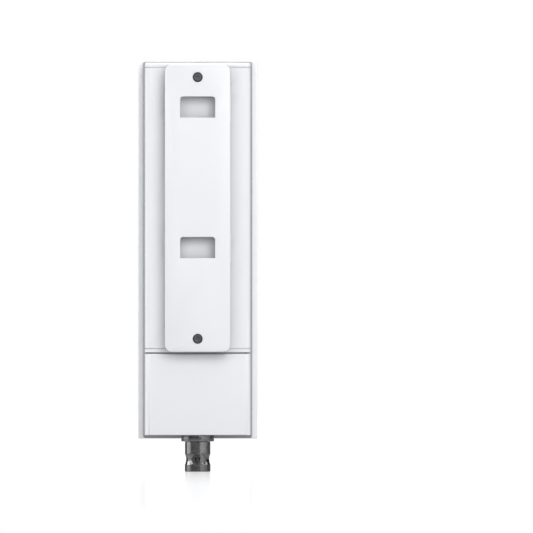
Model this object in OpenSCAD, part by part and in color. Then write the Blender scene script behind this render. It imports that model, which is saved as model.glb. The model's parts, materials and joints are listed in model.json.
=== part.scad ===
// Outdoor wireless bridge: a slim upright radio unit with a mounting bracket on its back,
// a slide-off service cover over its cable bay and a bayonet plug under its lower end.
//
// X runs across the unit, Y from the bracket's back face towards the front cover, Z up.
// The origin is the centre of the bracket's back face, the face that meets a wall or a pole.
// Modules draw in the body's own frame, where Z = 0 is the front cover's lower edge, and
// place() carries them to the origin. A depth is a Y value, measured from the bracket's back.

/* [Front cover] */
// Width of the front cover, the widest part of the unit
cover_w = 68; // [67:0.5:74]
// Height of the front cover
cover_h = 215; // [214.5:0.5:222]
// Depth of the front cover
front_depth = 10; // [10:0.5:14]
// Thickness of the front cover's radiating face
front_wall = 1.8; // [1.4:0.1:2]

/* [Rear housing] */
// Width of the rear housing
housing_w = 60; // [60:0.2:61]
// Depth of the rear housing
housing_depth = 22; // [22:0.5:26]
// Radius of the housing's long rear edges
side_fillet = 3; // [2:0.25:3.5]
// Width of the decorative grooves across the housing
trim_groove_w = 0.5; // [0.2:0.05:0.7]

/* [Service cover] */
// Height of the service cover
service_h = 46.3; // [45:0.1:46.6]
// Thickness of the service cover's back panel
service_t = 1.8; // [1.5:0.1:1.8]
// Free space between the service cover and its rails
rail_gap = 0.1; // [0.08:0.02:0.16]

/* [Bracket] */
// Width of the bracket
bracket_w = 37.3; // [36:0.1:39]
// Height of the bracket
bracket_h = 164; // [162:0.5:164]
// Thickness of the bracket's back plate
bracket_t = 2.5; // [2.3:0.1:2.7]
// Distance from the bracket's back face to the housing
bracket_depth = 8; // [7.5:0.25:10]
// Width of each bracket window
window_w = 20; // [16:0.5:22]
// Height of each bracket window
window_h = 12.1; // [10:0.1:14]
// Distance between the centres of the two windows
window_pitch = 80; // [70:1:84]
// Distance between the two bracket screws
bracket_screw_pitch = 149; // [146:0.5:149]

/* [Bayonet plug] */
// Diameter of the plug's mounting flange
flange_d = 18.75; // [18:0.25:18.75]
// Diameter of the coupling nut
nut_d = 14.6; // [14.3:0.1:15]
// Depth of the nut's waist below its rims
waist_cut = 0.7; // [0.4:0.1:0.8]
// Diameter of the bosses round the nut's locking holes
detent_boss_d = 6.7; // [5.6:0.1:7]
// Diameter of the nut's locking holes
detent_hole_d = 3; // [2.4:0.1:3.2]
// Number of grip grooves round the nut's rear sleeve
grip_groove_count = 6; // [4:1:8]

/* [Hidden] */
$fn = 96;
past = 1; // how far a cutting shape runs past the surface it cuts
contact = 0.02; // radial play between a part and the hole that it is fixed in

// Depths
housing_y = bracket_depth;
gasket_y = housing_y + housing_depth;
gasket_t = 2;
front_y = gasket_y + gasket_t;
face_y = front_y + front_depth;

// Front cover
cover_edge_r = 0.8;
cover_side_wall = 5;
cover_end_wall = 3;
cover_boss_r = 3.2;

// Gasket: its sloped edge shows round the housing
gasket_w = 61.9;
gasket_slope = 1.2;
gasket_bottom = 0.35;
gasket_top = cover_h - 0.3;
gasket_corner_r = 1.2;

// Rear housing
housing_bottom = 2.1;
housing_top = cover_h - 1;
housing_wall = 2;
housing_edge_r = 1;
trim_groove_depth = 0.4;
trim_groove_lower = 51.4;
trim_groove_upper = cover_h - 3.5;

// Cable bay behind the service cover
seam = 0.9;
service_top = housing_bottom + service_h;
bay_top = service_top + seam;
tongue_y = housing_y + service_t + 2 * rail_gap;
rail_y = tongue_y + 0.9;
rail_end_y = housing_y + 4;
tongue_w = housing_w - 4;
rail_w = tongue_w - 2.4;
bay_w = 49.6;
bay_floor = housing_bottom + housing_wall;
bay_back_y = tongue_y + housing_wall;
aperture_w = 44;
aperture_bottom = 14.5;
aperture_top = 43;
aperture_r = 2;
seal_w = 1.1;
seal_depth = 1.2;
seal_offset = 0.5;
strip_h = 0.8;
strip_t = 0.8;

// Screws and their bosses
screw_r = 1.47;
case_head_r = 2.75;
case_head_h = 1.9;
case_boss_r = 3.2;
case_bore_r = 1.7;
case_recess_r = 3.1;
case_recess_depth = 2.6;
case_collar_r = 4.6;
case_collar_len = 4.6;
case_screw_tip = 6.5;
// Each case screw: x, z and the depth of the surface that it enters
case_screw_places = [[-13, 70, housing_y], [13, 70, housing_y], [-13, 198, housing_y],
    [13, 198, housing_y], [-22, 9, tongue_y], [22, 9, tongue_y]];

// Bracket
bracket_mid_z = 131.5;
bracket_bottom = bracket_mid_z - bracket_h / 2;
bracket_top = bracket_mid_z + bracket_h / 2;
bracket_corner_r = 4.4;
bracket_wall = 1.8;
bracket_edge_r = 0.5;
window_r = 1.8;
window_mid_z = bracket_mid_z + 17.5;
window_zs = [window_mid_z - window_pitch / 2, window_mid_z + window_pitch / 2];
strap_notch_h = 16;
strap_notch_y = 3;
bracket_screw_zs = [bracket_mid_z - bracket_screw_pitch / 2,
    bracket_mid_z + bracket_screw_pitch / 2];
bracket_head_r = 2.7;
bracket_head_h = 1.5;
bracket_recess_r = 2.9;
bracket_recess_depth = 1.6;
bracket_screw_len = 11;
bracket_post_r = 4.5;
insert_r = 2.1;
insert_len = 5;
insert_boss_r = 4;
insert_boss_h = 7;

// Main board
board_y = 23;
board_t = 1.6;
board_w = 48;
board_bottom = 16;
board_top = 172;
standoff_r = 2.5;
// Each standoff: x, z and the depth of the surface that it stands on
standoff_places = [[-21, 47.5, tongue_y], [21, 47.5, tongue_y], [-21, 165, housing_y],
    [21, 165, housing_y]];
board_screw_r = 1.2;
chip_h = 1.4;
shield_t = 0.3;
shield_h = 3.4;
// Each shield: the x, z of its lower left corner, its width and its height
cpu_shield_box = [-16, 78, 32, 30];
radio_shield_box = [-14, 114, 28, 34];

// Ethernet jack, its mouth facing down over the cable grommet
jack_x = 7.5;
jack_w = 16;
jack_z = 26;
jack_len = 18;
jack_h = 10.7;
jack_mouth_w = 12;
jack_mouth_h = 7.6;
jack_mouth_len = 13;
grommet_x = 15.5;

// Earth screw
ground_x = -8;
ground_z = 22;
ground_screw_r = 1.4;

// Reset switch
reset_x = -14;
reset_z = 34;
switch_size = 6;
switch_h = 3.6;
button_r = 1.75;
button_len = 5;
button_gap = 0.05;
button_well = 2.6;

// Antenna
reflector_y = front_y + 1;
reflector_t = 1;
antenna_w = 52;
antenna_bottom = 22;
antenna_top = 206;
spacer_h = 2.5;
antenna_y = reflector_y + reflector_t + spacer_h;
antenna_t = 1;
patch_size = 18;
patch_t = 0.1;
patch_pitch = 40;
patch_zs = [for (row = [0:3]) 50 + row * patch_pitch];
antenna_post_places = [for (z = [36, 110, 184], side = [-1, 1]) [side * 22, z]];
spacer_r = 2.5;
feed_pin_zs = [94, 126];
feed_pin_r = 0.65;

// Bayonet plug, on a vertical axis under the housing
plug_y = 20;
flange_bottom = -1.55;
flange_chamfer = 0.3;
neck_r = 6;
neck_top = 9.5;
washer_r = 7.8;
barrel_r = 4.9;
barrel_end = -8.4;
dielectric_r = 3.35;
dielectric_top = 6;
cup_r = 2.5;
cup_top = 13;
seal_ring_r = 7.6;
seal_cord_r = 0.6;
outer_contact_r = 4;
outer_contact_wall = 0.6;
outer_contact_end = -15;
contact_root_r = 4.3;
contact_root_h = 1;
finger_count = 6;
finger_slot_w = 0.4;
finger_slot_len = 2.5;
pin_r = 0.7;
pin_end = -13.6;

// Coupling nut
nut_r = nut_d / 2;
nut_top = flange_bottom - 0.1;
nut_end = -18.8;
nut_bore_r = barrel_r + 0.06;
nut_lip = 2;
nut_recess_r = 6.1;
waist_top = -8.55;
waist_bottom = -14.8;
nut_chamfer = 0.35;
grip_groove_w = 0.4;
grip_groove_depth = 0.12;
detent_z = -11.8;
boss_groove_w = 0.3;
boss_groove_depth = 0.3;
bayonet_groove_r = 5.85;
bayonet_groove_w = 2.3;
bayonet_sweep = 90;
bayonet_steps = 10;
washer_z = nut_top - nut_lip - 0.1;
ring_top = -4.5;
ring_t = 0.8;
ring_groove_r = 4.4;

// ---------------------------------------------------------------- helpers

// Carry a shape from the body's frame to the part's origin
module place() translate([0, 0, -bracket_mid_z]) children();

// Extrude an outline drawn in X and Z from depth y0 to depth y1
module along_y(y0, y1) translate([0, y1, 0]) rotate([90, 0, 0]) linear_extrude(y1 - y0) children();

// Extrude an outline drawn in Y and Z across the width, centred on X = 0
module along_x(w) translate([-w / 2, 0, 0]) rotate([90, 0, 90]) linear_extrude(w) children();

// Extrude an outline drawn in X and Y from height z0 to height z1
module along_z(z0, z1) translate([0, 0, z0]) linear_extrude(z1 - z0) children();

// A box from one corner to the opposite corner
module block(low, high) translate(low) cube(high - low);

// A box that is centred on X = 0
module wide_block(w, low, high) block([-w / 2, low[0], low[1]], [w / 2, high[0], high[1]]);

// A rectangle from low to high with round corners
module round_rect(low, high, r) {
    translate([low[0] + r, low[1]]) square([high[0] - low[0] - 2 * r, high[1] - low[1]]);
    translate([low[0], low[1] + r]) square([high[0] - low[0], high[1] - low[1] - 2 * r]);
    for (x = [low[0] + r, high[0] - r], y = [low[1] + r, high[1] - r]) translate([x, y]) circle(r);
}

// A cylinder along +Y from depth y0 to depth y1, at a place in X and Z
module rod_y(x, z, r, y0, y1) translate([x, y1, z]) rotate([90, 0, 0]) cylinder(h = y1 - y0, r = r);

// A hexagonal prism along +Y, for the drives of screws
module hex_y(x, z, r, y0, y1)
    translate([x, y1, z]) rotate([90, 0, 0]) cylinder(h = y1 - y0, r = r, $fn = 6);

// A ring round the plug's axis, from height z0 to height z1
module plug_ring(r_in, r_out, z0, z1) translate([0, plug_y, z0]) difference() {
    cylinder(h = z1 - z0, r = r_out);
    translate([0, 0, -past]) cylinder(h = z1 - z0 + 2 * past, r = r_in);
}

// A solid of revolution round the plug's axis, from an outline of radius and height
module plug_turned() translate([0, plug_y, 0]) rotate_extrude() children();

// A pan-head screw that enters along +Y, with a cross recess in its head
module pan_screw(x, z, y, head_r, head_h, shank_r, len) {
    crown = head_h * 0.4;
    recess = head_h * 0.6;
    slot_w = head_r * 0.3;
    difference() {
        union() {
            translate([x, y, z]) rotate([-90, 0, 0]) {
                cylinder(h = crown, r1 = head_r - crown, r2 = head_r);
                translate([0, 0, crown]) cylinder(h = head_h - crown, r = head_r);
            }
            rod_y(x, z, shank_r, y + head_h, y + head_h + len);
        }
        for (turn = [0, 90]) translate([x, y + recess / 2, z]) rotate([0, turn, 0])
            cube([slot_w, recess, head_r * 1.15], center = true);
    }
}

// ---------------------------------------------------------------- casing

// The radome: a shallow tray whose thick rim carries the gasket and the rear housing
module front_cover() color("whitesmoke") {
    difference() {
        intersection() {
            along_y(front_y, face_y)
                round_rect([-cover_w / 2, 0], [cover_w / 2, cover_h], cover_edge_r);
            along_x(cover_w) round_rect([front_y, 0], [face_y, cover_h], cover_edge_r);
            along_z(0, cover_h)
                round_rect([-cover_w / 2, front_y], [cover_w / 2, face_y], cover_edge_r);
        }
        wide_block(cover_w - 2 * cover_side_wall, [front_y - past, cover_end_wall],
            [face_y - front_wall, cover_h - cover_end_wall]);
    }
    for (spot = case_screw_places) difference() {
        rod_y(spot[0], spot[1], cover_boss_r, front_y, face_y - front_wall);
        rod_y(spot[0], spot[1], screw_r + contact, front_y - past, front_y + case_screw_tip + 0.5);
    }
    for (spot = antenna_post_places) difference() {
        rod_y(spot[0], spot[1], spacer_r, antenna_y + antenna_t, face_y - front_wall);
        rod_y(spot[0], spot[1], board_screw_r + contact, antenna_y, face_y - front_wall - 0.2);
    }
}

// The grey seal between the shells, its sloped edge showing all round the housing
module housing_gasket() color("gray") difference() {
    slope_y = gasket_y + gasket_slope;
    intersection() {
        along_y(gasket_y, front_y)
            round_rect([-gasket_w / 2, gasket_bottom], [gasket_w / 2, gasket_top], gasket_corner_r);
        along_z(0, cover_h) polygon([[-gasket_w / 2, front_y], [-gasket_w / 2, slope_y],
            [-housing_w / 2, gasket_y], [housing_w / 2, gasket_y],
            [gasket_w / 2, slope_y], [gasket_w / 2, front_y]]);
        along_x(gasket_w) polygon([[front_y, gasket_bottom], [slope_y, gasket_bottom],
            [gasket_y, housing_bottom], [gasket_y, housing_top],
            [slope_y, gasket_top], [front_y, gasket_top]]);
    }
    wide_block(housing_w - 2 * housing_wall, [gasket_y - past, bay_floor],
        [front_y + past, housing_top - housing_wall]);
}

// The outer form of the housing, shrunk by inset
module housing_form(inset) intersection() {
    along_z(housing_bottom, housing_top) round_rect([-housing_w / 2 + inset, housing_y + inset],
        [housing_w / 2 - inset, gasket_y + side_fillet], side_fillet);
    along_x(housing_w) round_rect([housing_y, housing_bottom],
        [gasket_y + side_fillet, housing_top], housing_edge_r);
    along_y(housing_y, gasket_y) round_rect([-housing_w / 2, housing_bottom],
        [housing_w / 2, housing_top], housing_edge_r);
}

// The space that the service cover and its rails take out of the housing
module service_recess() along_z(housing_bottom - past, bay_top) difference() {
    translate([-housing_w / 2 - past, housing_y - past])
        square([housing_w + 2 * past, rail_end_y - housing_y + past + rail_gap]);
    translate([-tongue_w / 2, tongue_y]) square([tongue_w, rail_y - tongue_y]);
    translate([-rail_w / 2, rail_y - 0.5]) square([rail_w, rail_end_y]);
}

// The outline of the bay's opening, grown by margin
module aperture_outline(margin) round_rect(
    [-aperture_w / 2 - margin, aperture_bottom - margin],
    [aperture_w / 2 + margin, aperture_top + margin], aperture_r + margin);

// A thin groove round the back and sides of the housing
module trim_groove(z) difference() {
    wide_block(housing_w + 2 * past, [housing_y - past, z - trim_groove_w / 2],
        [gasket_y, z + trim_groove_w / 2]);
    housing_form(trim_groove_depth);
}

// The rear shell, with its screw bosses, board standoffs, insert bosses and cable bay
module rear_housing() color("whitesmoke") difference() {
    union() {
        difference() {
            housing_form(0);
            wide_block(housing_w - 2 * housing_wall, [housing_y + housing_wall, bay_top + housing_wall],
                [gasket_y + past, housing_top - housing_wall]);
            wide_block(bay_w, [bay_back_y, bay_floor], [gasket_y + past, bay_top + 2 * housing_wall]);
            service_recess();
            trim_groove(trim_groove_lower);
            trim_groove(trim_groove_upper);
        }
        for (spot = case_screw_places) {
            rod_y(spot[0], spot[1], case_collar_r, spot[2] + 1, spot[2] + case_collar_len);
            rod_y(spot[0], spot[1], case_boss_r, spot[2] + 1, front_y);
        }
        for (spot = standoff_places)
            rod_y(spot[0], spot[1], standoff_r, spot[2] + 1, board_y);
        for (z = bracket_screw_zs)
            rod_y(0, z, insert_boss_r, housing_y + 1, housing_y + insert_boss_h);
    }
    for (spot = case_screw_places) {
        rod_y(spot[0], spot[1], case_bore_r, housing_y, front_y + past);
        rod_y(spot[0], spot[1], case_recess_r, spot[2] - past, spot[2] + case_recess_depth);
    }
    for (spot = standoff_places)
        rod_y(spot[0], spot[1], board_screw_r + contact, board_y - 8, board_y + past);
    for (z = bracket_screw_zs)
        rod_y(0, z, insert_r + contact, housing_y - past, housing_y + insert_len + 0.5);
    along_y(tongue_y - past, bay_back_y + past) aperture_outline(0);
    along_y(tongue_y - past, tongue_y + seal_depth) difference() {
        aperture_outline(seal_offset + seal_w + contact);
        aperture_outline(seal_offset - contact);
    }
    translate([0, plug_y, 0]) cylinder(h = bay_floor + past, r = neck_r + 0.1);
    grommet_seat(grommet_x, 5, 6.3);
    grommet_seat(-grommet_x, 3, 4.2);
}

// The stepped hole in the housing's floor that a rubber plug sits in
module grommet_seat(x, r, lip_r) translate([x, plug_y, 0]) {
    cylinder(h = bay_floor + past, r = r + contact);
    cylinder(h = housing_bottom + 0.6 + contact, r = lip_r + contact);
}

// The slide-off cover: a back panel with two hooked edges that run on the housing's rails
module service_cover() color("whitesmoke") intersection() {
    along_z(housing_bottom, service_top) difference() {
        round_rect([-housing_w / 2, housing_y], [housing_w / 2, gasket_y], side_fillet);
        translate([-housing_w, rail_end_y]) square([2 * housing_w, gasket_y]);
        translate([-tongue_w / 2 - 2 * rail_gap, housing_y + service_t])
            square([tongue_w + 4 * rail_gap, rail_y - housing_y - service_t + rail_gap]);
        translate([-rail_w / 2 - 2 * rail_gap, housing_y + service_t])
            square([rail_w + 4 * rail_gap, gasket_y]);
    }
    along_x(housing_w) round_rect([housing_y, housing_bottom], [gasket_y, service_top], 0.6);
}

// The rubber ring round the bay's opening, in its groove under the service cover
module bay_seal() color("dimgray") along_y(tongue_y - rail_gap, tongue_y + seal_depth) difference() {
    aperture_outline(seal_offset + seal_w);
    aperture_outline(seal_offset);
}

// The soft grey strip in the seam above the service cover
module seam_strip() color("gray")
    wide_block(tongue_w, [tongue_y - strip_t, bay_top - strip_h], [tongue_y, bay_top]);

// ---------------------------------------------------------------- bracket and fasteners

// The bracket: a shallow tray on two posts, with two windows, and side notches for a strap
module bracket_plate() color("white") difference() {
    union() {
        difference() {
            intersection() {
                along_y(0, housing_y) round_rect([-bracket_w / 2, bracket_bottom],
                    [bracket_w / 2, bracket_top], bracket_corner_r);
                along_z(bracket_bottom, bracket_top) round_rect([-bracket_w / 2, 0],
                    [bracket_w / 2, housing_y + bracket_edge_r], bracket_edge_r);
                along_x(bracket_w) round_rect([0, bracket_bottom],
                    [housing_y + bracket_edge_r, bracket_top], bracket_edge_r);
            }
            along_y(bracket_t, housing_y + past) round_rect(
                [-bracket_w / 2 + bracket_wall, bracket_bottom + bracket_wall],
                [bracket_w / 2 - bracket_wall, bracket_top - bracket_wall],
                bracket_corner_r - bracket_wall);
        }
        for (z = bracket_screw_zs) rod_y(0, z, bracket_post_r, bracket_t / 2, housing_y);
    }
    for (z = window_zs) {
        along_y(-past, bracket_t + past) difference() {
            round_rect([-window_w / 2, z - window_h / 2 - 2 * window_r],
                [window_w / 2, z + window_h / 2], window_r);
            translate([-window_w, z - window_h / 2 - 4 * window_r])
                square([2 * window_w, 4 * window_r]);
        }
        wide_block(bracket_w + 2 * past, [strap_notch_y, z - strap_notch_h / 2],
            [housing_y + past, z + strap_notch_h / 2]);
    }
    for (z = bracket_screw_zs) {
        rod_y(0, z, case_bore_r, -past, housing_y + past);
        rod_y(0, z, bracket_recess_r, -past, bracket_recess_depth);
    }
}

// The two screws that hold the bracket to the housing
module bracket_screws() color("dimgray") for (z = bracket_screw_zs) pan_screw(0, z,
    bracket_recess_depth - bracket_head_h, bracket_head_r, bracket_head_h, screw_r,
    bracket_screw_len);

// Grooved brass inserts in the housing's back
module bracket_inserts() color("goldenrod") for (z = bracket_screw_zs) difference() {
    rod_y(0, z, insert_r, housing_y + 0.1, housing_y + insert_len);
    rod_y(0, z, screw_r + contact, housing_y - past, housing_y + insert_len + past);
    for (y = [housing_y + 1.6, housing_y + 3.2]) difference() {
        rod_y(0, z, insert_r + past, y, y + 0.4);
        rod_y(0, z, insert_r - 0.25, y - past, y + past);
    }
}

// The screws that close the case, under the bracket and the service cover
module case_screws() color("silver") for (spot = case_screw_places) {
    seat = spot[2] + case_recess_depth;
    pan_screw(spot[0], spot[1], seat - case_head_h, case_head_r, case_head_h, screw_r,
        front_y + case_screw_tip - seat);
}

// ---------------------------------------------------------------- electronics

// A chip or block that is soldered to the board's back, from its corner, width and height
module on_board(x, z, w, h, tall) block([x, board_y - tall, z], [x + w, board_y, z + h]);

module main_board() color("darkgreen") difference() {
    wide_block(board_w, [board_y, board_bottom], [board_y + board_t, board_top]);
    for (spot = case_screw_places)
        rod_y(spot[0], spot[1], case_boss_r + 0.5, board_y - past, board_y + board_t + past);
    for (spot = standoff_places)
        rod_y(spot[0], spot[1], board_screw_r + 0.1, board_y - past, board_y + board_t + past);
    rod_y(ground_x, ground_z, ground_screw_r + contact, board_y - past, board_y + board_t + past);
}

// The board's screws, which enter the standoffs from the front
module board_screws() color("silver") for (spot = standoff_places)
    mirror([0, 1, 0]) pan_screw(spot[0], spot[1], -board_y - board_t - 1.4, 2.2, 1.4,
        board_screw_r, 7);

// A pressed metal can over a part of the board
module shield(box) difference() {
    on_board(box[0], box[1], box[2], box[3], shield_h);
    block([box[0] + shield_t, board_y - shield_h + shield_t, box[1] + shield_t],
        [box[0] + box[2] - shield_t, board_y + past, box[1] + box[3] - shield_t]);
    for (column = [1:6], row = [1:4])
        rod_y(box[0] + column * box[2] / 7, box[1] + row * box[3] / 5, 0.7,
            board_y - shield_h - past, board_y - shield_h + past);
}

module cpu_shield() color("silver") shield(cpu_shield_box);
module radio_shield() color("silver") shield(radio_shield_box);
module processor() color("black") on_board(-12, 85, 14, 14, chip_h);
module memory_chips() color("black") for (z = [82, 94]) on_board(5, z, 8, 10, 1);
module radio_chip() color("black") on_board(-5, 126, 10, 10, chip_h);
module crystal() color("lightgray") on_board(-10, 138, 5, 3.2, 1);

// A soft pad that carries heat from the shields to the spreader
module thermal_pad() color("lightsteelblue")
    for (z = [82, 120]) block([-10, board_y - shield_h - 1.5, z], [10, board_y - shield_h, z + 22]);

// The finned plate between the pads and the housing's back
module heat_spreader() color("gainsboro") {
    plate_y = board_y - shield_h - 1.5;
    wide_block(38, [plate_y - 1.6, 78], [plate_y, 148]);
    for (x = [-16:8:16]) block([x - 0.6, housing_y + housing_wall + 0.1, 80],
        [x + 0.6, plate_y - 1.6, 146]);
}

module ethernet_transformer() color("black") on_board(-9, 50, 15, 11, 5.5);

// The network socket, open downwards
module ethernet_jack() color("silver") difference() {
    on_board(jack_x, jack_z, jack_w, jack_len, jack_h);
    mid_x = jack_x + jack_w / 2;
    mouth_y = board_y - 1.6 - jack_mouth_h;
    block([mid_x - jack_mouth_w / 2, mouth_y, jack_z - past],
        [mid_x + jack_mouth_w / 2, mouth_y + jack_mouth_h, jack_z + jack_mouth_len]);
}

// The eight sprung contacts in the socket
module jack_contacts() color("gold") for (line = [0:7]) {
    x = jack_x + jack_w / 2 + (line - 3.5) * 1.02;
    corner = [x - 0.15, board_y - 2.4, jack_z + 3];
    block(corner, corner + [0.3, 0.6, jack_mouth_len - 3]);
}

module power_inductor() color("dimgray") on_board(-22, 53, 9.5, 9.5, 4.5);

// The supply's electrolytic capacitors
module capacitors() color("midnightblue") for (x = [12, 20])
    rod_y(x, 57, 3.15, board_y - 8, board_y);

// The sprung reset switch: a square body with a round well for its button
module reset_switch() color("dimgray") difference() {
    on_board(reset_x - switch_size / 2, reset_z - switch_size / 2, switch_size, switch_size, switch_h);
    rod_y(reset_x, reset_z, button_r + button_gap, board_y - switch_h - past,
        board_y - switch_h + button_well);
}

// The button: a round stem with a wider cap, standing clear of its well's floor
module reset_button() color("crimson") {
    stem_end = board_y - switch_h + button_well - 1;
    rod_y(reset_x, reset_z, button_r, stem_end - button_len, stem_end);
}

module status_leds() color("palegreen") for (line = [0:3])
    on_board(-21.5, 22 + line * 5, 2, 1.4, 0.9);

// The earth screw, which clamps an earth wire to a pad on the board
module ground_screw() color("goldenrod")
    pan_screw(ground_x, ground_z, board_y - 2.2, 3, 2.2, ground_screw_r, 4);

// A rubber plug in the housing's floor, with a lip inside and one set flush outside
module floor_plug(x, r, lip_r) translate([x, plug_y, 0]) {
    translate([0, 0, housing_bottom]) cylinder(h = 0.6, r = lip_r);
    translate([0, 0, housing_bottom]) cylinder(h = housing_wall + 1, r = r);
    translate([0, 0, bay_floor]) cylinder(h = 1, r = lip_r);
}

// The blank membrane that a network cable is pushed through
module cable_grommet() color("black") difference() {
    floor_plug(grommet_x, 5, 6.3);
    translate([grommet_x, plug_y, housing_bottom + 1]) cylinder(h = 5, r = 3.4);
}

// The vent that lets the case breathe and keeps water out
module vent_plug() color("gray") difference() {
    floor_plug(-grommet_x, 3, 4.2);
    for (turn = [0:60:300]) translate([-grommet_x, plug_y, 0]) rotate([0, 0, turn])
        translate([1.6, 0, housing_bottom]) cylinder(h = 0.8, r = 0.35, center = true);
}

// ---------------------------------------------------------------- antenna

// The shared outline of the reflector and the antenna board, holed for the case bosses
module antenna_sheet(y0, y1) difference() {
    wide_block(antenna_w, [y0, antenna_bottom], [y1, antenna_top]);
    for (spot = case_screw_places)
        rod_y(spot[0], spot[1], cover_boss_r + 0.4, y0 - past, y1 + past);
    for (spot = antenna_post_places)
        rod_y(spot[0], spot[1], board_screw_r + 0.1, y0 - past, y1 + past);
    for (z = feed_pin_zs) rod_y(0, z, feed_pin_r + 0.05, y0 - past, y1 + past);
}

module reflector_plate() color("lightgray") difference() {
    antenna_sheet(reflector_y, reflector_y + reflector_t);
    for (z = feed_pin_zs) rod_y(0, z, 2, reflector_y - past, reflector_y + reflector_t + past);
}

module antenna_board() color("tan") antenna_sheet(antenna_y, antenna_y + antenna_t);

// The column of square radiating patches and the line that feeds them
module antenna_patches() color("peru") {
    y0 = antenna_y + antenna_t;
    for (z = patch_zs) difference() {
        wide_block(patch_size, [y0, z - patch_size / 2], [y0 + patch_t, z + patch_size / 2]);
        for (pin_z = feed_pin_zs) rod_y(0, pin_z, feed_pin_r + 0.05, y0 - past, y0 + past);
    }
    for (row = [0, 2]) wide_block(1.4, [y0, patch_zs[row] + patch_size / 2],
        [y0 + patch_t, patch_zs[row + 1] - patch_size / 2]);
}

module antenna_spacers() color("ivory") for (spot = antenna_post_places) difference() {
    rod_y(spot[0], spot[1], spacer_r, reflector_y + reflector_t, antenna_y);
    rod_y(spot[0], spot[1], board_screw_r + 0.1, reflector_y, antenna_y + past);
}

module antenna_screws() color("silver") for (spot = antenna_post_places)
    pan_screw(spot[0], spot[1], reflector_y - 1.2, 2.1, 1.2, board_screw_r,
        face_y - front_wall - 0.6 - reflector_y);

module feed_pins() color("gold") for (z = feed_pin_zs)
    rod_y(0, z, feed_pin_r, board_y + board_t, antenna_y + antenna_t);

// ---------------------------------------------------------------- bayonet plug

// The plug's flanged body, with the neck that goes through the housing's floor
module plug_body() color("darkslategray") difference() {
    flange_r = flange_d / 2;
    plug_turned() polygon([[0, barrel_end], [barrel_r - 0.2, barrel_end],
        [barrel_r, barrel_end + 0.2], [barrel_r, flange_bottom],
        [flange_r - flange_chamfer, flange_bottom], [flange_r, flange_bottom + flange_chamfer],
        [flange_r, housing_bottom - 0.1], [flange_r - 0.1, housing_bottom],
        [neck_r, housing_bottom], [neck_r, neck_top], [cup_r, neck_top], [cup_r, cup_top],
        [0, cup_top]]);
    translate([0, plug_y, barrel_end - past])
        cylinder(h = dielectric_top - barrel_end + past, r = dielectric_r + contact);
    translate([0, plug_y, 0]) cylinder(h = cup_top + past, r = 1.3);
    plug_ring(ring_groove_r, barrel_r + past, ring_top - ring_t - 0.05, ring_top + 0.05);
    plug_ring(seal_ring_r - 0.7, seal_ring_r + 0.7, housing_bottom - 2 * seal_cord_r,
        housing_bottom + past);
    for (z = [housing_bottom + 2.6:0.7:neck_top - 0.6])
        plug_ring(neck_r - 0.2, neck_r + past, z, z + 0.3);
}

// The rubber ring between the flange and the housing's floor
module plug_seal() color("black") plug_turned()
    translate([seal_ring_r, housing_bottom - seal_cord_r]) circle(r = seal_cord_r, $fn = 32);

module plug_insulator() color("ivory") plug_ring(pin_r, dielectric_r, barrel_end - 0.6, dielectric_top);

// The centre pin, with a rounded tip
module centre_contact() color("gold") translate([0, plug_y, pin_end]) {
    cylinder(h = cup_top - 4 - pin_end, r = pin_r - contact);
    sphere(r = pin_r - contact, $fn = 32);
}

// The slotted sleeve that slides into a socket's shell
module outer_contact() color("goldenrod") difference() {
    union() {
        plug_ring(outer_contact_r - outer_contact_wall, outer_contact_r, outer_contact_end,
            barrel_end - contact_root_h);
        plug_ring(outer_contact_r - outer_contact_wall, contact_root_r,
            barrel_end - contact_root_h, barrel_end);
    }
    for (finger = [0:finger_count / 2 - 1]) translate([0, plug_y, outer_contact_end])
        rotate([0, 0, finger * 360 / finger_count + 15])
            cube([3 * outer_contact_r, finger_slot_w, 2 * finger_slot_len], center = true);
}

// One radial cut through the nut's wall, from radius r0 to radius r1
module radial_rod(turn, z, r, r0, r1)
    translate([0, plug_y, z]) rotate([90, 0, turn]) translate([0, 0, r0]) cylinder(h = r1 - r0, r = r);

// The nut's outline: a grooved sleeve, a hollow waist with a round curve and a plain front ring
module nut_outline() {
    waist_half = (waist_top - waist_bottom) / 2;
    waist_curve_r = (waist_half * waist_half + waist_cut * waist_cut) / (2 * waist_cut);
    pitch = (nut_top - waist_top) / (grip_groove_count + 1);
    difference() {
        polygon([[nut_bore_r, nut_end + nut_chamfer], [nut_bore_r + nut_chamfer, nut_end],
            [nut_r - nut_chamfer, nut_end], [nut_r, nut_end + nut_chamfer],
            [nut_r, nut_top - 0.15], [nut_r - 0.15, nut_top], [nut_bore_r, nut_top]]);
        translate([nut_r - waist_cut + waist_curve_r, waist_top - waist_half])
            circle(r = waist_curve_r);
        for (groove = [1:grip_groove_count])
            translate([nut_r - grip_groove_depth, nut_top - groove * pitch - grip_groove_w / 2])
                square([past, grip_groove_w]);
        translate([0, barrel_end + 0.1])
            square([nut_recess_r, nut_top - nut_lip - barrel_end - 0.1]);
    }
}

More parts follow.
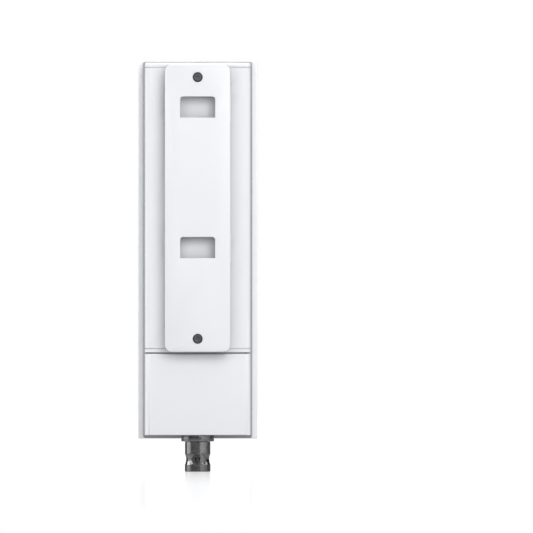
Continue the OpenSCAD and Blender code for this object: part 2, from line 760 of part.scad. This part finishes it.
// The spinning nut: its outline turned, two round locking bosses that stand in the waist with a
// groove round each, and two curved bayonet grooves inside
module coupling_nut() color("darkslategray") difference() {
    boss_r = detent_boss_d / 2;
    union() {
        plug_turned() nut_outline();
        intersection() {
            for (turn = [0, 180]) radial_rod(turn, detent_z, boss_r, nut_bore_r + 1, nut_r + past);
            plug_ring(nut_bore_r, nut_r, nut_end, nut_top);
        }
    }
    for (turn = [0, 180]) {
        difference() {
            radial_rod(turn, detent_z, boss_r + boss_groove_w, nut_r - boss_groove_depth, nut_r + past);
            radial_rod(turn, detent_z, boss_r, nut_bore_r, nut_r + 2 * past);
        }
        radial_rod(turn, detent_z, detent_hole_d / 2, nut_bore_r - 1, nut_r + past);
        translate([0, plug_y, detent_z]) rotate([90, 0, turn]) translate([0, 0, nut_r - 0.4])
            cylinder(h = 0.4 + contact, r1 = detent_hole_d / 2, r2 = detent_hole_d / 2 + 0.4);
        for (step = [0:bayonet_steps])
            radial_rod(turn - bayonet_sweep * step / bayonet_steps,
                detent_z + (nut_end - detent_z) * pow(step / bayonet_steps, 1.5),
                bayonet_groove_w / 2, nut_bore_r - 1, bayonet_groove_r);
    }
}

// The dished washer that pushes the nut back against the flange
module spring_washer() color("silver") plug_turned()
    polygon([[barrel_r + 0.05, washer_z - 0.45], [nut_recess_r - 0.1, washer_z - 0.2],
        [nut_recess_r - 0.1, washer_z], [barrel_r + 0.05, washer_z - 0.2]]);

// The split ring that keeps the nut on the barrel
module retaining_ring() color("silver") difference() {
    plug_ring(ring_groove_r + contact, nut_recess_r - 0.2, ring_top - ring_t, ring_top);
    translate([ring_groove_r + 1, plug_y, ring_top]) cube([4, 1.4, 4], center = true);
}

// The soft ring that a socket's shell presses on
module jack_gasket() color("firebrick")
    plug_ring(contact_root_r, barrel_r - 0.05, barrel_end - 0.9, barrel_end);

// The toothed washer under the plug's nut
module lock_washer() color("silver") difference() {
    plug_ring(neck_r + 0.05, washer_r, bay_floor, bay_floor + 0.6);
    for (turn = [0:30:330]) translate([0, plug_y, bay_floor]) rotate([0, 0, turn])
        translate([washer_r, 0, 0]) cube([1.6, 1, 4], center = true);
}

// The nut that clamps the plug to the housing's floor
module hex_nut() color("silver") translate([0, plug_y, bay_floor + 0.6]) difference() {
    cylinder(h = 3, r = 8.6, $fn = 6);
    translate([0, 0, -past]) cylinder(h = 5, r = neck_r + contact);
}

// The short coaxial lead from the plug up to the board
module coax_pigtail() color("sandybrown")
    translate([0, plug_y, cup_top]) cylinder(h = 11, r = 1.2);

// The right-angled connector at the top of the lead
module pigtail_plug() color("gold") {
    block([-1.8, plug_y - 1.8, cup_top + 11], [1.8, plug_y + 1.2, cup_top + 16]);
}

// The board's own socket for the lead
module board_rf_socket() color("gold") {
    socket_z = cup_top + 13.5;
    rod_y(0, socket_z, 1.5, plug_y + 1.2, board_y);
    block([-2.2, board_y - 0.6, socket_z - 2.2], [2.2, board_y, socket_z + 2.2]);
}

// ---------------------------------------------------------------- nodes

place() front_cover();
place() housing_gasket();
place() rear_housing();
place() service_cover();
place() bay_seal();
place() seam_strip();
place() bracket_plate();
place() bracket_screws();
place() bracket_inserts();
place() case_screws();
place() main_board();
place() board_screws();
place() cpu_shield();
place() radio_shield();
place() processor();
place() memory_chips();
place() radio_chip();
place() thermal_pad();
place() heat_spreader();
place() ethernet_transformer();
place() ethernet_jack();
place() jack_contacts();
place() power_inductor();
place() capacitors();
place() crystal();
place() reset_switch();
place() reset_button();
place() status_leds();
place() ground_screw();
place() cable_grommet();
place() vent_plug();
place() reflector_plate();
place() antenna_board();
place() antenna_patches();
place() antenna_spacers();
place() antenna_screws();
place() feed_pins();
place() plug_body();
place() plug_seal();
place() plug_insulator();
place() centre_contact();
place() outer_contact();
place() coupling_nut();
place() spring_washer();
place() retaining_ring();
place() jack_gasket();
place() lock_washer();
place() hex_nut();
place() coax_pigtail();
place() pigtail_plug();
place() board_rf_socket();
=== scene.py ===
"""Looks of the outdoor wireless bridge, seen square on from behind, in metres."""

import json
import math

import bmesh
import bpy
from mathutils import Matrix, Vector


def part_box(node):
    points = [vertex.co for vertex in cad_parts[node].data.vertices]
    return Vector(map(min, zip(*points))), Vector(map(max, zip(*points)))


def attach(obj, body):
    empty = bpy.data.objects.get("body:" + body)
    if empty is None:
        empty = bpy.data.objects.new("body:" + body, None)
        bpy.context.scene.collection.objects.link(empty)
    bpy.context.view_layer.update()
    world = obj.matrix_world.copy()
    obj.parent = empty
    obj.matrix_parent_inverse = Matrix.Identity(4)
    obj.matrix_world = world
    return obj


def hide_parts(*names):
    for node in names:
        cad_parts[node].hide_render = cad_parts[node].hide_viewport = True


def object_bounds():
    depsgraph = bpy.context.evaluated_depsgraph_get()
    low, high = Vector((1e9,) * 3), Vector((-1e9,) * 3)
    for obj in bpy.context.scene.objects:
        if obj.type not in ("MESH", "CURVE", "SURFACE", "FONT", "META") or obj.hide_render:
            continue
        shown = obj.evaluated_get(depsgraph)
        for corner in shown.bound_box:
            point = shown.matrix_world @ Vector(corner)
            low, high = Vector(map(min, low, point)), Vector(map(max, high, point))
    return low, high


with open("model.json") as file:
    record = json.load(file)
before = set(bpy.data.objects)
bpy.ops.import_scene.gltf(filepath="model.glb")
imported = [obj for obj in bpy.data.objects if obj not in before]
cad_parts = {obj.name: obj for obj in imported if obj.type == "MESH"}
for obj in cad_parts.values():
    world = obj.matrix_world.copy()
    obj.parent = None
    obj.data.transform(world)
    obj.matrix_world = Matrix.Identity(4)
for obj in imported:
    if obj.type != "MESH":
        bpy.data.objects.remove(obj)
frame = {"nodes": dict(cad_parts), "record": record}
cad_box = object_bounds()

MM = 0.001
NODES = frame["nodes"]
SLOT_OF = {part["node"]: part["material_slot"] for part in frame["record"]["subparts"]}
BODY_OF = {
    node: body
    for body, nodes in frame["record"]["behaviour"]["bodies"].items()
    for node in nodes
}


def link(thing):
    bpy.context.collection.objects.link(thing)
    return thing


# ---------------------------------------------------------------- camera, lights and floor

VIEW_WIDTH = 303.5 * MM       # width of the camera's view
VIEW_ASIDE = 39.2 * MM        # how far the unit stands left of the middle of the view
VIEW_ABOVE_BASE = 98.2 * MM   # middle of the view above the front cover's lower edge
VIEW_TILT = 0.4               # degrees that the camera looks down
CAMERA_AWAY = 3.0
CAMERA_REACH = 20             # how far the camera sees

UNIT_MIDDLE = Vector((0, 0.02, -0.02))
PLUG_MIDDLE = Vector((0, 0.02, -0.143))

# Each softbox round the unit: azimuth, from 0 on the camera's side to 90 on the picture's right,
# elevation, and watts. The watts began as a fit to the photograph's brightness and were then
# rounded and changed.
SOFTBOXES = [
    (-105, 20, 5.6),
    (-75, 20, 3.3),
    (-45, 20, 1.6),
    (-20, 20, 2.6),
    (20, 20, 6.4),
    (45, 20, 2.2),
    (95, 25, 2.2),
    (-20, 45, 0.9),
    (20, 45, 2.7),
    (75, 45, 2.0),
    (-105, 70, 8.5),
    (45, 70, 2.8),
    (105, 65, 2.0),
    (-150, 35, 5.8),
    (150, 35, 4.0),
]
SOFTBOX_AWAY = 1.4
SOFTBOX_SIZE = (0.7, 0.7)

# Each upright card that the plug mirrors: azimuth, and watts found in the same way
CARDS = [
    (-105, 0.100),
    (-90, 0.095),
    (-75, 0.080),
    (30, 0.055),
    (45, 0.065),
    (60, 0.055),
    (75, 0.045),
    (90, 0.025),
]
CARD_AWAY = 0.45
CARD_SIZE = (0.12, 0.25)

AMBIENT = 0.03
AMBIENT_TINT = (0.99, 0.995, 1.03)
BACKDROP_COSINE = 0.985         # the backdrop fills the directions this close to straight behind

FLOOR_REACH = 4.5
FLOOR_GLOW = 0.5                # what the floor sends to the unit and to everything else
FLOOR_GLOW_TO_CAMERA = 1.45     # enough to look white, as an overlit board does
LACQUER_ROUGHNESS = 0.12
LACQUER_IOR = 1.4
LACQUER_FULL_AT = 0.6           # the Fresnel value from which the lacquer hides the board


def direction(azimuth, elevation):
    """The direction towards a place round the unit."""
    turn = math.radians(azimuth)
    rise = math.radians(elevation)
    return Vector((
        math.sin(turn) * math.cos(rise),
        -math.cos(turn) * math.cos(rise),
        math.sin(rise),
    ))


def aim(thing, middle, azimuth, elevation, away):
    """Stand a camera or a light this far from a place, facing it."""
    towards = direction(azimuth, elevation)
    thing.location = middle + towards * away
    thing.rotation_euler = towards.to_track_quat("Z", "Y").to_euler()


def make_camera():
    data = bpy.data.cameras.new("camera")
    data.type = "ORTHO"
    data.ortho_scale = VIEW_WIDTH
    data.clip_end = CAMERA_REACH
    camera = link(bpy.data.objects.new("camera", data))
    middle = Vector((VIEW_ASIDE, 0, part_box("front_cover")[0].z + VIEW_ABOVE_BASE))
    aim(camera, middle, 0, VIEW_TILT, CAMERA_AWAY)
    bpy.context.scene.camera = camera
    bpy.context.scene.view_settings.view_transform = "Standard"


def make_light(name, size, watts):
    data = bpy.data.lights.new(name, "AREA")
    data.shape = "RECTANGLE"
    data.size, data.size_y = size
    data.energy = watts
    return link(bpy.data.objects.new(name, data))


def make_lights():
    for number, (azimuth, elevation, watts) in enumerate(SOFTBOXES):
        softbox = make_light(f"softbox_{number}", SOFTBOX_SIZE, watts)
        aim(softbox, UNIT_MIDDLE, azimuth, elevation, SOFTBOX_AWAY)
    for number, (azimuth, watts) in enumerate(CARDS):
        card = make_light(f"card_{number}", CARD_SIZE, watts)
        aim(card, PLUG_MIDDLE, azimuth, 0, CARD_AWAY)


def make_world():
    """A dim room. To the camera it is white all round, and straight behind it is white to all."""
    world = bpy.data.worlds.new("studio")
    bpy.context.scene.world = world
    world.use_nodes = True
    tree = world.node_tree
    tree.nodes.clear()
    room = tree.nodes.new("ShaderNodeBackground")
    room.inputs["Color"].default_value = (*AMBIENT_TINT, 1)
    room.inputs["Strength"].default_value = AMBIENT
    backdrop = tree.nodes.new("ShaderNodeBackground")
    backdrop.inputs["Color"].default_value = (1, 1, 1, 1)
    towards = tree.nodes.new("ShaderNodeTexCoord")
    split = tree.nodes.new("ShaderNodeSeparateXYZ")
    behind = tree.nodes.new("ShaderNodeMath")
    behind.operation = "GREATER_THAN"
    behind.inputs[1].default_value = BACKDROP_COSINE
    seen = tree.nodes.new("ShaderNodeLightPath")
    white = tree.nodes.new("ShaderNodeMath")
    white.operation = "MAXIMUM"
    mix = tree.nodes.new("ShaderNodeMixShader")
    output = tree.nodes.new("ShaderNodeOutputWorld")
    tree.links.new(towards.outputs["Generated"], split.inputs[0])
    tree.links.new(split.outputs["Y"], behind.inputs[0])
    tree.links.new(behind.outputs[0], white.inputs[0])
    tree.links.new(seen.outputs["Is Camera Ray"], white.inputs[1])
    tree.links.new(white.outputs[0], mix.inputs[0])
    tree.links.new(room.outputs[0], mix.inputs[1])
    tree.links.new(backdrop.outputs[0], mix.inputs[2])
    tree.links.new(mix.outputs[0], output.inputs["Surface"])


def make_floor():
    level = cad_box[0].z
    reach = FLOOR_REACH
    mesh = bpy.data.meshes.new("floor")
    mesh.from_pydata(
        [(-reach, -reach, level), (reach, -reach, level),
         (reach, reach, level), (-reach, reach, level)],
        [], [(0, 1, 2, 3)])
    mesh.materials.append(floor_material())
    link(bpy.data.objects.new("floor", mesh))


# ---------------------------------------------------------------- material helpers
# Noise scales are in waves per metre, and bump depths in metres.

EDGE_BREAKUP_SCALE = 900
# how far the painted shade reaches, near walls and corners and deep in crevices
CORNER_REACH = 8 * MM
CREVICE_REACH = 1 * MM
CREVICE_SHADE = 0.6              # how much of the colour is left deep in a crevice, as painted shade
RUBBER_ROUGHNESS = 0.65
RUBBER_BLOOM = 0.05             # how much paler the dust is than the rubber
PLATING_MARK_DEPTH = 0.0012 * MM
TURNED_ROUGHNESS = 0.18
TURNED_RING_DEPTH = 0.0008 * MM
EVERY_WAY = (1, 1, 1)
ROUND_Z = (0.01, 0.01, 1)       # stretches a noise into rings round Z


class Paint:
    """A material that is being put together."""

    def __init__(self, name):
        self.material = bpy.data.materials.new(name)
        self.material.use_nodes = True
        self.tree = self.material.node_tree
        self.shader = self.tree.nodes["Principled BSDF"]
        self.place = self.tree.nodes.new("ShaderNodeTexCoord").outputs["Object"]

    def node(self, kind, **settings):
        made = self.tree.nodes.new("ShaderNode" + kind)
        for name, value in settings.items():
            setattr(made, name, value)
        return made

    def feed(self, node, **values):
        """Set inputs by name, from a number or from another node's output."""
        for name, value in values.items():
            socket = node.inputs[name.replace("_", " ")]
            if isinstance(value, bpy.types.NodeSocket):
                self.tree.links.new(value, socket)
            else:
                socket.default_value = value
        return node

    def noise(self, scale, detail=3.0, stretch=None):
        place = self.place
        if stretch:
            mapping = self.feed(self.node("Mapping"), Vector=place, Scale=stretch)
            place = mapping.outputs["Vector"]
        made = self.feed(self.node("TexNoise"), Vector=place, Scale=scale, Detail=detail)
        return made.outputs["Fac"]

    def ranged(self, value, low, high, start=0.3, end=0.7):
        """low to high as the value goes from start to end, which suit the middle of a noise."""
        made = self.node("MapRange")
        self.feed(made, Value=value, From_Min=start, From_Max=end, To_Min=low, To_Max=high)
        return made.outputs["Result"]

    def times(self, first, second):
        made = self.node("Math", operation="MULTIPLY")
        self.tree.links.new(first, made.inputs[0])
        self.tree.links.new(second, made.inputs[1])
        return made.outputs[0]

    def blend(self, factor, first, second):
        """A colour between two colours, each a colour or another node's output."""
        made = self.node("Mix", data_type="RGBA")
        self.tree.links.new(factor, made.inputs["Factor"])
        for socket, value in ((made.inputs[6], first), (made.inputs[7], second)):
            if isinstance(value, bpy.types.NodeSocket):
                self.tree.links.new(value, socket)
            else:
                socket.default_value = (*value, 1)
        return made.outputs[2]

    def edges(self, radius, least_turn=0.99):
        """1 along edges and 0 on flat faces, broken up as wear is. It masks worn edges and
        painted edge highlights.
        """
        rounded = self.feed(self.node("Bevel", samples=4), Radius=radius)
        flat = self.node("NewGeometry")
        turned = self.node("VectorMath", operation="DOT_PRODUCT")
        self.tree.links.new(rounded.outputs["Normal"], turned.inputs[0])
        self.tree.links.new(flat.outputs["Normal"], turned.inputs[1])
        at_edges = self.ranged(turned.outputs["Value"], 1.0, 0.0, start=0.8, end=least_turn)
        return self.times(at_edges, self.ranged(self.noise(EDGE_BREAKUP_SCALE, 2), 0.35, 1.0))

    def crevice(self, reach, open_until):
        """0 deep in crevices and corners, rising to 1 in the open."""
        made = self.feed(self.node("AmbientOcclusion", samples=8), Distance=reach)
        return self.ranged(made.outputs["AO"], 0.0, 1.0, start=0.3, end=open_until)

    def bumps(self, layers):
        """Bump layers, each a height and a depth."""
        normal = None
        for height, depth in layers:
            made = self.feed(self.node("Bump"), Height=height, Distance=depth)
            if normal:
                self.tree.links.new(normal, made.inputs["Normal"])
            normal = made.outputs["Normal"]
        self.tree.links.new(normal, self.shader.inputs["Normal"])

    def finish(self, **values):
        self.feed(self.shader, **values)
        return self.material


def scaled(colour, factor):
    return tuple(channel * factor for channel in colour)


# ---------------------------------------------------------------- materials

def moulded(name, colour, roughness=0.42, grain=0.004 * MM, wear=1.04, painted_corner_shade=0.7):
    """Moulded plastic: grain, a tone and a gloss that drift, polished edges, and painted shade
    that darkens its corners and crevices. The corners keep that share of the colour as painted
    shade."""
    paint = Paint(name)
    tone = paint.blend(paint.ranged(paint.noise(35, 4), 0, 1), scaled(colour, 0.985), colour)
    # painted shade: the colour darkens near walls and corners, standing in for the shadows round
    # the bracket
    tone = paint.blend(paint.crevice(CORNER_REACH, 1.0), scaled(colour, painted_corner_shade), tone)
    # painted shade: darker still deep in grooves, seams and crevices
    dust_and_shade = scaled(colour, CREVICE_SHADE)
    tone = paint.blend(paint.crevice(CREVICE_REACH, 0.9), dust_and_shade, tone)
    edges = paint.edges(0.2 * MM)
    at_edges = tuple(min(channel * wear, 1) for channel in colour)
    paint.bumps([(paint.noise(4200, 2), grain), (paint.noise(160, 2), 2 * grain)])
    return paint.finish(
        Base_Color=paint.blend(edges, tone, at_edges),
        Roughness=paint.ranged(paint.noise(220, 3), roughness - 0.05, roughness + 0.05),
    )


def rubber(name, colour):
    """Soft rubber: dull, with a bloom of pale dust and a slightly wavy skin."""
    paint = Paint(name)
    dust_and_shade = tuple(channel + RUBBER_BLOOM for channel in colour)
    bloom = paint.ranged(paint.noise(500, 5), 0, 1, start=0.45, end=0.75)
    paint.bumps([(paint.noise(3000, 3), 0.006 * MM), (paint.noise(250, 2), 0.03 * MM)])
    gloss = paint.noise(700, 3)
    return paint.finish(
        Base_Color=paint.blend(bloom, colour, dust_and_shade),
        Roughness=paint.ranged(gloss, RUBBER_ROUGHNESS - 0.08, RUBBER_ROUGHNESS + 0.08),
        Specular_IOR_Level=0.3,
    )


def metal(name, colour, roughness, at_edges=None, marks=EVERY_WAY):
    """Plated metal: tool marks, patches of duller plating and brighter worn edges."""
    paint = Paint(name)
    tone = paint.blend(paint.ranged(paint.noise(420, 4), 0, 1), scaled(colour, 0.86), colour)
    at_edges = at_edges or tuple(min(channel * 1.3, 1) for channel in colour)
    paint.bumps([(paint.noise(2600, 3, marks), PLATING_MARK_DEPTH)])
    return paint.finish(
        Base_Color=paint.blend(paint.edges(0.15 * MM), tone, at_edges),
        Roughness=paint.ranged(paint.noise(900, 4), roughness - 0.05, roughness + 0.07),
        Metallic=1.0,
    )


def turned_metal(name, colour, at_edges):
    """Dark plating over turned metal: rings of tool marks round Z, and edges painted much lighter
    as a painted highlight.
    """
    paint = Paint(name)
    rings = paint.noise(1800, 2, ROUND_Z)
    patches = paint.blend(paint.ranged(paint.noise(300, 3), 0, 1), scaled(colour, 0.93), colour)
    tone = paint.blend(paint.ranged(rings, 0, 1), patches, scaled(colour, 1.15))
    # painted highlight: a much lighter colour along the edges
    edges = paint.edges(0.4 * MM, 0.999)
    paint.bumps([(rings, TURNED_RING_DEPTH)])
    gloss = paint.noise(900, 3)
    return paint.finish(
        Base_Color=paint.blend(edges, tone, at_edges),
        Roughness=paint.ranged(gloss, TURNED_ROUGHNESS - 0.03, TURNED_ROUGHNESS + 0.03),
        Metallic=1.0,
    )


def circuit_board(name):
    """Green solder mask over rows of copper traces."""
    paint = Paint(name)
    upright = paint.feed(
        paint.node("Mapping"), Vector=paint.place, Rotation=(math.radians(90), 0, 0))
    traces = paint.feed(
        paint.node("TexBrick", offset=0.37, squash=1.6, squash_frequency=3),
        Vector=upright.outputs["Vector"], Scale=260.0, Mortar_Size=0.035,
        Brick_Width=1.9, Row_Height=0.42)
    mask = paint.blend(
        paint.ranged(paint.noise(90, 3), 0, 1), (0.012, 0.11, 0.045), (0.018, 0.15, 0.06))
    lines = paint.ranged(traces.outputs["Fac"], 0.0, 0.75, start=0.0, end=1.0)
    paint.bumps([(traces.outputs["Fac"], 0.03 * MM), (paint.noise(2500, 2), 0.003 * MM)])
    return paint.finish(
        Base_Color=paint.blend(lines, mask, (0.05, 0.3, 0.12)),
        Roughness=paint.ranged(paint.noise(400, 3), 0.22, 0.36),
        Coat_Weight=0.4,
    )


def laminate(name):
    """Woven glass laminate, with its weave just showing."""
    paint = Paint(name)
    weave = paint.feed(paint.node("TexChecker"), Vector=paint.place, Scale=1400.0)
    tone = paint.blend(weave.outputs["Fac"], (0.55, 0.48, 0.3), (0.62, 0.55, 0.36))
    paint.bumps([(weave.outputs["Fac"], 0.01 * MM)])
    return paint.finish(Base_Color=tone, Roughness=paint.ranged(paint.noise(500), 0.4, 0.55))


def lens(name):
    """Clear tinted resin over a lamp."""
    paint = Paint(name)
    tone = paint.blend(paint.ranged(paint.noise(800), 0, 1), (0.62, 0.8, 0.62), (0.75, 0.9, 0.75))
    paint.bumps([(paint.noise(1500, 2), 0.004 * MM)])
    return paint.finish(
        Base_Color=tone, Roughness=paint.ranged(paint.noise(900), 0.08, 0.16),
        Transmission_Weight=0.5)


def floor_material():
    """A white glowing board that takes no shadow, with a lacquer that mirrors the plug at
    grazing angles."""
    paint = Paint("floor_board")
    tree = paint.tree
    tree.nodes.remove(paint.shader)
    seen = paint.node("LightPath").outputs["Is Camera Ray"]
    glow = paint.ranged(seen, FLOOR_GLOW, FLOOR_GLOW_TO_CAMERA, start=0.0, end=1.0)
    board = paint.feed(paint.node("Emission"), Color=(1, 1, 1, 1), Strength=glow)
    lacquer = paint.feed(
        paint.node("BsdfGlossy"), Color=(1, 1, 1, 1), Roughness=LACQUER_ROUGHNESS)
    grazing = paint.feed(paint.node("Fresnel"), IOR=LACQUER_IOR)
    mirrored = paint.ranged(grazing.outputs[0], 0.0, LACQUER_FULL_AT, start=0.0, end=1.0)
    mix = paint.node("MixShader")
    tree.links.new(mirrored, mix.inputs[0])
    tree.links.new(board.outputs[0], mix.inputs[1])
    tree.links.new(lacquer.outputs[0], mix.inputs[2])
    tree.links.new(mix.outputs[0], tree.nodes["Material Output"].inputs["Surface"])
    return paint.material


MATERIALS = {
    "shell_white": lambda name: moulded(name, (0.83, 0.838, 0.87)),
    "bracket_white": lambda name: moulded(name, (0.835, 0.842, 0.875), 0.38),
    # a grey seal, its grey set dark enough to stand in for the shade along the case's lower edge
    # as well
    "seal_grey": lambda name: rubber(name, (0.36, 0.36, 0.375)),
    "screw_dark": lambda name: metal(name, (0.13, 0.13, 0.135), 0.42, (0.3, 0.3, 0.3)),
    "brass": lambda name: metal(name, (0.78, 0.6, 0.3), 0.28),
    "steel": lambda name: metal(name, (0.62, 0.62, 0.64), 0.3),
    "board_green": circuit_board,
    "tin": lambda name: metal(name, (0.74, 0.74, 0.74), 0.32),
    "chip_black": lambda name: moulded(name, (0.022, 0.022, 0.023), 0.5, wear=1.8),
    "pad_blue": lambda name: rubber(name, (0.36, 0.5, 0.66)),
    "aluminium": lambda name: metal(name, (0.82, 0.82, 0.84), 0.36, marks=(1, 1, 0.03)),
    "gold": lambda name: metal(name, (0.98, 0.74, 0.34), 0.2),
    "ferrite": lambda name: moulded(name, (0.07, 0.07, 0.075), 0.8, 0.02 * MM, 1.5),
    "capacitor_sleeve": lambda name: moulded(name, (0.025, 0.04, 0.14), 0.22, wear=1.4),
    "switch_grey": lambda name: moulded(name, (0.11, 0.11, 0.115), 0.5, wear=1.4),
    "button_red": lambda name: moulded(name, (0.62, 0.06, 0.04), 0.4, wear=1.2),
    "led_lens": lens,
    "rubber_black": lambda name: rubber(name, (0.022, 0.022, 0.022)),
    "laminate_tan": laminate,
    "copper": lambda name: metal(name, (0.9, 0.48, 0.3), 0.25),
    "nylon": lambda name: moulded(name, (0.8, 0.78, 0.7), 0.4),
    # the plug's edges are painted this much lighter, a painted highlight
    "plug_gunmetal": lambda name: turned_metal(name, (0.235, 0.235, 0.238), (0.75, 0.75, 0.75)),
    "ptfe": lambda name: moulded(name, (0.86, 0.86, 0.84), 0.45),
    "silicone_red": lambda name: rubber(name, (0.5, 0.06, 0.05)),
    "cable_tan": lambda name: moulded(name, (0.55, 0.33, 0.16), 0.3),
}


# ---------------------------------------------------------------- rounded shells

# Parts whose sharp edges are rolled over, and the radius of the roll
ROUNDED = {
    "front_cover": 0.25 * MM,
    "rear_housing": 0.15 * MM,
    "service_cover": 0.15 * MM,
    "bracket_plate": 0.1 * MM,
    "housing_gasket": 0.1 * MM,
    "bracket_screws": 0.2 * MM,
    "plug_body": 0.15 * MM,
}
WELD_WITHIN = 0.002 * MM        # vertices closer than this are one
FLAT_WITHIN = math.radians(0.5)     # faces that turn less than this are joined
SHARP_FROM = math.radians(35)       # edges that turn more than this are rolled over
SHADE_SHARP_FROM = math.radians(20)


def rounded_copy(name, radius, material):
    """The part's own mesh with its sharp edges rolled over, in place of the sharp one."""
    mesh = NODES[name].data.copy()
    shape = bmesh.new()
    shape.from_mesh(mesh)
    bmesh.ops.remove_doubles(shape, verts=shape.verts, dist=WELD_WITHIN)
    bmesh.ops.dissolve_limit(
        shape, angle_limit=FLAT_WITHIN, verts=shape.verts, edges=shape.edges)
    sharp = [edge for edge in shape.edges
             if edge.is_manifold and edge.calc_face_angle() > SHARP_FROM]
    bmesh.ops.bevel(
        shape, geom=sharp, offset=radius, offset_type="OFFSET", segments=2, profile=0.5,
        affect="EDGES", clamp_overlap=True)
    shape.to_mesh(mesh)
    shape.free()
    mesh.set_sharp_from_angle(angle=SHADE_SHARP_FROM)
    mesh.materials.clear()
    mesh.materials.append(material)
    piece = link(bpy.data.objects.new(name + "_rounded", mesh))
    piece.matrix_world = NODES[name].matrix_world
    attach(piece, BODY_OF[name])
    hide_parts(name)


def round_the_shells(materials):
    """Show rounded copies, with the front cover in a smoother white painted lighter, with little
    painted corner shade, to stand in for the light on its rims.
    """
    # a copy of the white painted lighter than the rest: painted light on the front cover's rims
    lighter_front_white = moulded("front_white_painted_lighter", (0.92, 0.925, 0.95), 0.36, painted_corner_shade=0.95)
    for name, radius in ROUNDED.items():
        material = lighter_front_white if name == "front_cover" else materials[SLOT_OF[name]]
        rounded_copy(name, radius, material)


# ---------------------------------------------------------------- scene

def dress_nodes():
    """Give every CAD part the material of its slot."""
    materials = {slot: MATERIALS[slot](slot) for slot in sorted(set(SLOT_OF.values()))}
    for name, node in NODES.items():
        node.data.materials.clear()
        node.data.materials.append(materials[SLOT_OF[name]])
    return materials


make_camera()
make_lights()
make_world()
make_floor()
round_the_shells(dress_nodes())
